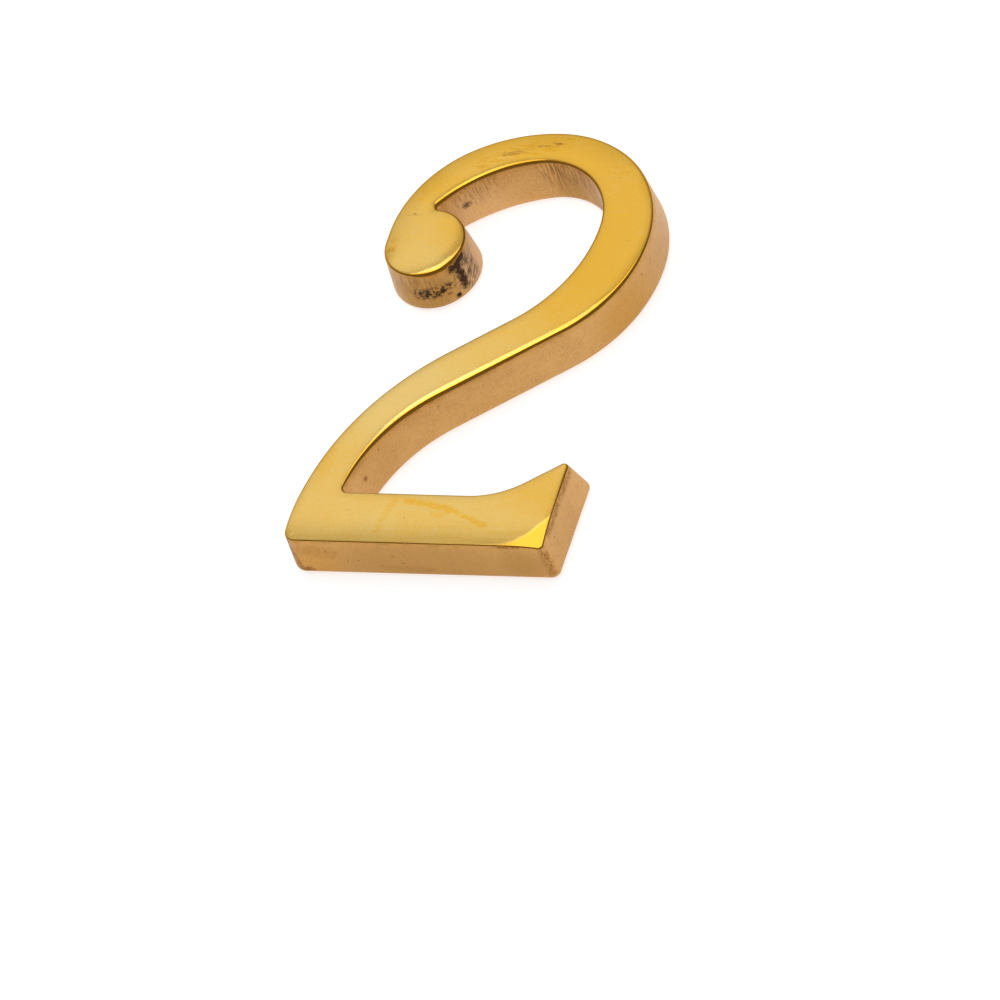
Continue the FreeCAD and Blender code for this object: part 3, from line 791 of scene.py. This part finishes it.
class CastBrass(Finish):
    """Cast brass: polished golden face under a pale film, satin copper walls, black casting skin.

    Places are in millimetres on the casting. A noise's scale is the number of its waves in one.
    """

    def __init__(self):
        super().__init__("cast_brass")
        per_mm = (1 / MM,) * 3
        self.place = self.vector("MULTIPLY", self.node("TexCoord").outputs["Object"], per_mm)
        self.strip = self.attribute("strip", "Vector")
        self.depth = self.axes(self.strip)["Z"]

        self.fine = self.noise(self.place, 2.5, 4.0, 0.6)
        self.grain = self.noise(self.place, 1.7, 5.0, 0.65)
        self.mottle = self.noise(self.place, 0.3, 4.0, 0.55)
        self.smut = self.noise(self.place, 0.9, 6.0, 0.75)
        self.rubbed = self.drawn_out(-0.9, (0.07, 1.1, 0.1), 0.6)
        self.smeared = self.drawn_out(-0.3, (0.35, 1.5, 0.3), 0.7)
        waver = self.noise(self.place, 1.1, 4.0, 0.7, "Color")
        waver = self.vector("SUBTRACT", waver, (0.5, 0.5, 0.5))
        waver = self.vector("MULTIPLY", waver, (RAGGEDNESS,) * 3)
        self.ragged = self.vector("ADD", self.place, waver)

        gold = self.face_colour()
        dirt = self.wall_dirt()
        black = self.casting_skin()
        copper = self.mix(dirt, self.wall_colour(), DIRT)
        # Brown dirt along the foot's edges, and a painted dark reflection down the toe's corner
        copper = self.mix(self.wall_grime_and_dark_reflection(), copper, GRIME_AND_DARK_REFLECTION)
        copper = self.mix(black, copper, CASTING_SKIN)

        polish = self.attribute("polish", "Fac")
        rough_face = self.blend(self.rubbed, *FACE_ROUGHNESS)
        rough_wall = self.blend(self.grain, *WALL_ROUGHNESS)
        relief = self.minus(self.times(self.grain, 0.5), self.times(dirt, 0.6))
        relief = self.times(self.minus(relief, black), self.minus(1.0, polish))
        bump = self.node("Bump", {"Height": relief, "Strength": 1.0, "Distance": RELIEF})
        self.feed(self.shader.inputs["Base Color"], self.mix(polish, copper, gold))
        self.feed(self.shader.inputs["Roughness"], self.blend(polish, rough_wall, rough_face))
        self.feed(self.shader.inputs["Normal"], bump.outputs["Normal"])
        self.shader.inputs["Metallic"].default_value = 1.0

    def drawn_out(self, turn, scale, roughness):
        """Noise that is turned on the face and then drawn out by its scale along each axis."""
        inputs = {"Vector": self.place, "Rotation": (0, 0, turn), "Scale": scale}
        return self.noise(self.node("Mapping", inputs).outputs["Vector"], 1.0, 5.0, roughness)

    def face_colour(self):
        """Gold under a pale film, thickest on the lower diagonal, that is wiped, stained and nicked."""
        place, ragged = self.place, self.ragged
        inset = self.attribute("inset", "Fac")
        facet = self.attribute("facet", "Fac")
        cloud = self.noise(place, 0.09, 3.0, 0.5)

        film = self.total([
            self.ramp(self.dot(place, (0.5, 0.87, 0)), 27, -6, 0.6),
            self.patch(place, (-11, -14, 10), (24, 20, 30), 0.0, 0.45),
            self.patch(place, (28, -36, 10), (16, 14, 30), 0.0, -0.35),
            self.patch(place, (-18, 18, 10), (12, 12, 30), 0.0, 0.35),
            self.patch(place, (-14, 40, 10), (16, 10, 30), 0.0, 0.2),
            self.patch(place, (-14, -44, 10), (14, 10, 30), 0.0, 0.15),
            self.patch(place, (-22, 28, 10), (12, 10, 30), 0.0, 0.15),
            self.sway(cloud, 0.7),
            self.sway(self.rubbed, 0.7),
            self.sway(self.fine, 1.1),
        ])
        film = self.times(self.minus(film, facet), self.ramp(inset, -0.4, 0.1))
        wiped = self.most([
            self.streak(ragged, (-3.6, -40.1, 10), (0.3, -40.9, 10), 1.0),
            self.streak(ragged, (1.6, -41.0, 10), (6.6, -42.4, 10), 1.25),
            self.streak(ragged, (7.0, -42.6, 10), (14.0, -45.8, 10), 0.7),
            self.streak(ragged, (-6.4, -39.5, 10), (-8.4, -47.8, 10), 1.0, 0.45),
            self.patch(ragged, (-23.6, -31.5, 10), (3.2, 9.0, 30), 0.1, 0.4),
            self.patch(ragged, (3.8, -43.4, 10), (2.6, 1.2, 5), 0.1, 0.5),
        ])
        film = self.minus(film, self.times(wiped, self.ramp(self.smut, 0.3, 0.55, 0.9)))
        gold = self.mix(film, GOLD, FILMED_GOLD)
        gold = self.mix(self.ramp(inset, 0.0, -0.2), gold, EDGE_GOLD)
        gold = self.mix(self.times(facet, 0.6), gold, EDGE_GOLD)

        stains = self.most([
            self.streak(place, (-12.5, 42.0, 10), (-6.0, 45.2, 10), 2.2),
            self.streak(place, (-6.0, 45.2, 10), (3.6, 47.6, 10), 2.4),
            self.patch(place, (-20.5, 36.0, 10), (4.5, 4.5, 8.0), 0.2, 0.3),
            self.patch(place, (17.0, 41.0, 10), (5.0, 4.0, 8.0), 0.2, 0.6),
        ])
        stains = self.times(stains, self.ramp(self.smeared, 0.42, 0.66))
        blotch = self.patch(place, (-25.4, 20.5, 10), (2.0, 5.0, 8.0), 0.2, 0.7)
        blotch = self.times(blotch, self.ramp(self.smut, 0.4, 0.6))
        gold = self.mix(self.most([stains, blotch]), gold, STAIN)

        nicks = self.most([
            self.streak(place, (-24.8, 29.1, 10), (-21.6, 29.2, 10), 0.4, 0.45),
            self.patch(place, (-23.0, 29.4, 10), (0.55, 0.4, 2.0), 0.5),
            self.streak(place, (-8.6, 44.4, 10), (-4.2, 45.5, 10), 0.7),
            self.streak(place, (-2.0, 46.5, 10), (2.2, 47.4, 10), 0.6),
        ])
        nicks = self.times(nicks, self.ramp(self.smeared, 0.4, 0.6))
        nicks = self.most([nicks, self.pits(place, 3.2, 0.16, 0.3)])
        return self.mix(self.times(nicks, 0.7), gold, DIRT)

    def wall_colour(self):
        """Mottled satin copper: paler in places, brown below, with a painted pink sheen in places,
        orange in two patches and a painted orange reflection under the edge.
        """
        place = self.place
        copper = self.mix(self.ramp(self.mottle, 0.35, 0.65), COPPER, DULL_COPPER)
        copper = self.mix(self.ramp(self.fine, 0.4, 0.66, 0.9), copper, PALE_COPPER)
        # Painted pink sheen, where the walls catch the pale light
        pink_sheen = self.most([
            self.patch(place, (28, 31, 5), (6, 15, 10), 0.2, 0.2),
            self.patch(place, (-13, 35, 3), (10, 7, 7), 0.3, 0.35),
            self.patch(place, (12.5, 36, 5), (3, 5, 9), 0.3, 0.6),
            self.patch(place, (-10, 21, 5), (4, 6, 9), 0.3, 0.5),
            self.patch(place, (-21, 15, 4), (11, 8, 9), 0.3, 0.35),
        ])
        copper = self.mix(pink_sheen, copper, SHEEN_PINK)
        pale = self.patch(place, (-11, 36.5, 2), (9, 7, 7), 0.2, 0.7)
        copper = self.mix(pale, copper, PALE_COPPER)
        dull = self.most([
            self.patch(place, (0, -51, 5), (40, 2, 12), 0.3, 0.85),
            self.patch(place, (21, -51, 5), (12, 2, 9), 0.2),
            self.patch(place, (-18, 14, 4), (11, 9, 9), 0.3),
            self.patch(place, (5, 42, 3), (7, 5, 6), 0.2, 0.8),
            self.patch(place, (10.5, 39, 3), (4, 5, 6), 0.2, 0.9),
            self.patch(place, (28, -42, 4), (4, 13, 9), 0.2, 0.3),
            self.patch(place, (-14, -28, 4), (7, 9, 9), 0.2, 0.25),
            self.patch(place, (28, 20, 4), (7, 24, 9), 0.2, 0.3),
        ])
        copper = self.mix(dull, copper, BROWN_COPPER)
        # Orange tone in two patches, and a painted orange reflection just under the face's edge
        orange_tone_and_reflection = self.most([
            self.patch(place, (24, 12, 4), (8, 11, 9), 0.2),
            self.patch(place, (-22, -51, 4), (9, 3, 9), 0.2),
            # painted orange reflection under the edge, all round
            self.ramp(self.depth, 2.2, 0.9, 0.7),
            # painted orange reflection under the edge at the ball's lower right
            self.streak(place, (-16.0, 14.8, 9.0), (-12.6, 17.6, 8.8), 1.4),
        ])
        return self.mix(self.times(orange_tone_and_reflection, 0.8), copper, ORANGE_TONE_AND_REFLECTION)

    def wall_dirt(self):
        """Dirt in file marks that run down the wall, in specks and pits and along the edge."""
        place = self.place
        marks = self.noise(self.vector("MULTIPLY", self.strip, (5.2, 5.2, 0.3)), 1.0, 1.5, 0.6)
        filed = self.most([
            self.patch(place, (-14, 37, 8), (11, 8, 7), 0.3, 0.6),
            self.patch(place, (5, 42, 6), (10, 6, 8), 0.4),
            self.patch(place, (-11, 19, 5), (5, 7, 9), 0.5),
            self.patch(place, (-26, 17, 4), (5, 6, 7), 0.4),
            self.patch(place, (-19, 14, 5), (12, 7, 9), 0.3, 0.85),
        ])
        filed = self.times(filed, self.blend(self.ramp(self.depth, 7.5, 1.5), 0.35, 0.8))
        filed = self.plus(filed, 0.08)
        return self.most([
            self.times(self.ramp(marks, 0.42, 0.64), filed),
            self.ramp(self.grain, 0.48, 0.8, 0.4),
            self.ramp(self.fine, 0.42, 0.7, 0.25),
            self.times(self.ramp(self.depth, 1.9, 0.8), self.ramp(self.mottle, 0.42, 0.62, 0.35)),
            self.pits(place, 1.9, 0.22, 0.35),
        ])

    def wall_grime_and_dark_reflection(self):
        """Brown dirt at the heel's corner and along the edges of the foot, a darker line along the top
        of the foot's end, and a painted dark reflection down the toe's rounded vertical corner.
        """
        place = self.place
        grime_and_dark_reflection = self.most([
            # painted dark reflection down the toe's rounded vertical corner
            self.streak(place, (26.8, -50.0, 8.6), (27.0, -50.4, 2.0), 1.5, 0.6),
            # darker along the top edge of the foot's end
            self.streak(place, (27.2, -46.0, 8.9), (27.4, -32.0, 8.9), 1.5, 0.7),
            self.streak(place, (17.0, -50.4, 9.1), (22.0, -50.4, 9.1), 0.5),
            self.streak(place, (-26.6, -49.0, 9.0), (-25.9, -50.4, 2.0), 1.5),
            self.streak(place, (-25.6, -50.5, 1.6), (-23.0, -50.7, 1.4), 0.9),
            self.streak(place, (-25.5, -50.4, 7.2), (-18.0, -50.4, 6.0), 2.2, 0.3),
            self.streak(place, (-8.0, -50.4, 2.5), (2.0, -50.4, 2.0), 1.2, 0.2),
            self.patch(place, (-16.3, -31.9, 5.8), (1.0, 1.0, 1.0), 0.1),
        ])
        return self.times(grime_and_dark_reflection, self.ramp(self.smut, 0.34, 0.6))

    def casting_skin(self):
        """Black skin left on the ball's wall: ragged bands, a smudge, a hole and slanting hatches."""
        place, ragged = self.place, self.ragged
        level = self.axes(place)
        slant = self.node("CombineXYZ", {
            0: self.times(self.minus(level["Y"], level["Z"]), 2.4),
            1: self.times(self.plus(level["Y"], level["Z"]), 0.3),
        }).outputs[0]
        hatch = self.ramp(self.noise(slant, 1.0, 2.0, 0.6), 0.46, 0.62)
        smudge = self.streak(place, (-19.0, 13.8, 4.6), (-13.6, 15.8, 4.4), 2.0)
        scuff = self.patch(place, (-15.4, 35.5, 5.4), (1.7, 1.5, 1.0), 0.2, 0.7)
        return self.most([
            self.streak(ragged, (-12.3, 18.0, 7.8), (-11.0, 20.4, 8.8), 1.5),
            self.streak(ragged, (-11.7, 18.9, 7.6), (-11.2, 18.3, 2.8), 1.25),
            self.times(smudge, self.ramp(self.smut, 0.47, 0.56)),
            self.patch(place, (-12.4, 16.4, 1.7), (0.75, 0.75, 0.75), 0.5),
            self.times(hatch, self.patch(place, (-10.2, 19.5, 5), (3.8, 5.0, 6), 0.4, 0.8)),
            self.times(scuff, self.ramp(self.smut, 0.45, 0.55)),
        ])


numeral = make_numeral()
numeral.data.materials.append(CastBrass().material)
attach(numeral, "root")
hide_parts("numeral_two")

# Camera of the photograph: a long lens, aimed so that the numeral lies where it does there
VIEW = Vector((0.4071, -0.5620, 0.7200))
RIGHT = Vector((0.9130, 0.2716, -0.3042))
UP = Vector((-0.0246, 0.7813, 0.6237))
IMAGE_SIZE = 1000
PIXELS_PER_MM = 5.24
ORIGIN_PIXEL = (498.9, 370.05)
CAMERA_DISTANCE = 9.0
SENSOR_WIDTH = 36.0
across = (IMAGE_SIZE / 2 - ORIGIN_PIXEL[0]) / PIXELS_PER_MM * MM
down = (IMAGE_SIZE / 2 - ORIGIN_PIXEL[1]) / PIXELS_PER_MM * MM
lens = bpy.data.cameras.new("camera")
lens.sensor_width = SENSOR_WIDTH
lens.sensor_fit = "HORIZONTAL"
lens.lens = SENSOR_WIDTH * CAMERA_DISTANCE / (IMAGE_SIZE / PIXELS_PER_MM * MM)
camera = bpy.data.objects.new("camera", lens)
turned = Matrix((RIGHT, UP, VIEW)).transposed().to_4x4()
camera.matrix_world = Matrix.Translation(RIGHT * across - UP * down + VIEW * CAMERA_DISTANCE) @ turned
bpy.context.scene.collection.objects.link(camera)
bpy.context.scene.camera = camera

# Room: dim, with a pale panel on the far left that the face mirrors. Light falls off over the given
# angles from the middle of the panel, in degrees
PANEL_SIDE = (-0.407, 0.562, 0.720)
ROUND_PANEL_SPAN = np.cos(np.radians((60, 12)))
PANEL_SPAN = np.cos(np.radians((9, 1)))
DIM_LEVEL = 0.18
ROUND_PANEL_LEVEL = 0.55
PANEL_LEVEL = 1.0
world = bpy.data.worlds.new("room")
world.use_nodes = True
room = Nodes(world.node_tree)
facing = room.dot(room.node("TexCoord").outputs["Generated"], PANEL_SIDE)
round_panel = room.blend(room.ramp(facing, *ROUND_PANEL_SPAN), DIM_LEVEL, ROUND_PANEL_LEVEL)
panel = room.ramp(facing, *PANEL_SPAN, PANEL_LEVEL - ROUND_PANEL_LEVEL)
background = room.tree.nodes["Background"]
background.inputs["Color"].default_value = (1, 1, 1, 1)
room.feed(background.inputs["Strength"], room.plus(round_panel, panel))
bpy.context.scene.world = world


def softbox(name, place, size, level):
    """Rectangular lamp at place that faces straight down and shines at a level, where 1 is white."""
    lamp = bpy.data.lights.new(name, "AREA")
    lamp.shape = "RECTANGLE"
    lamp.size, lamp.size_y = size
    lamp.energy = level * math.pi * size[0] * size[1]
    lamp_object = bpy.data.objects.new(name, lamp)
    lamp_object.location = place
    bpy.context.scene.collection.objects.link(lamp_object)


softbox("overhead", (-0.07, 0.145, 0.8), (0.53, 0.61), 1.25)
softbox("strip", (0.02, -0.01, 0.78), (0.2, 0.2), 2.0)

# Table: wide enough to fill the picture, just clear of the numeral's back
TABLE_REACH = 3.0
TABLE_GAP = 0.02 * MM
TABLE_WHITE = (0.8, 0.8, 0.8, 1)
TABLE_ROUGHNESS = 0.9
TABLE_GLOW = 0.72


def white_table():
    """White table top: part of its white is its own light, so that only a faint shadow shows on it."""
    table = Finish("white_table")
    path = table.node("LightPath").outputs
    seen = table.most([path[kind] for kind in ("Is Camera Ray", "Is Glossy Ray", "Is Transmission Ray")])
    table.shader.inputs["Base Color"].default_value = TABLE_WHITE
    table.shader.inputs["Roughness"].default_value = TABLE_ROUGHNESS
    table.shader.inputs["Emission Color"].default_value = (1, 1, 1, 1)
    table.feed(table.shader.inputs["Emission Strength"], table.times(seen, TABLE_GLOW))
    return table.material


sides = ((-1, -1), (1, -1), (1, 1), (-1, 1))
table_mesh = bpy.data.meshes.new("table")
table_corners = [(x * TABLE_REACH, y * TABLE_REACH, -TABLE_GAP) for x, y in sides]
table_mesh.from_pydata(table_corners, [], [(0, 1, 2, 3)])
table_mesh.materials.append(white_table())
table = bpy.data.objects.new("table", table_mesh)
bpy.context.scene.collection.objects.link(table)

bpy.context.scene.view_settings.view_transform = "Standard"
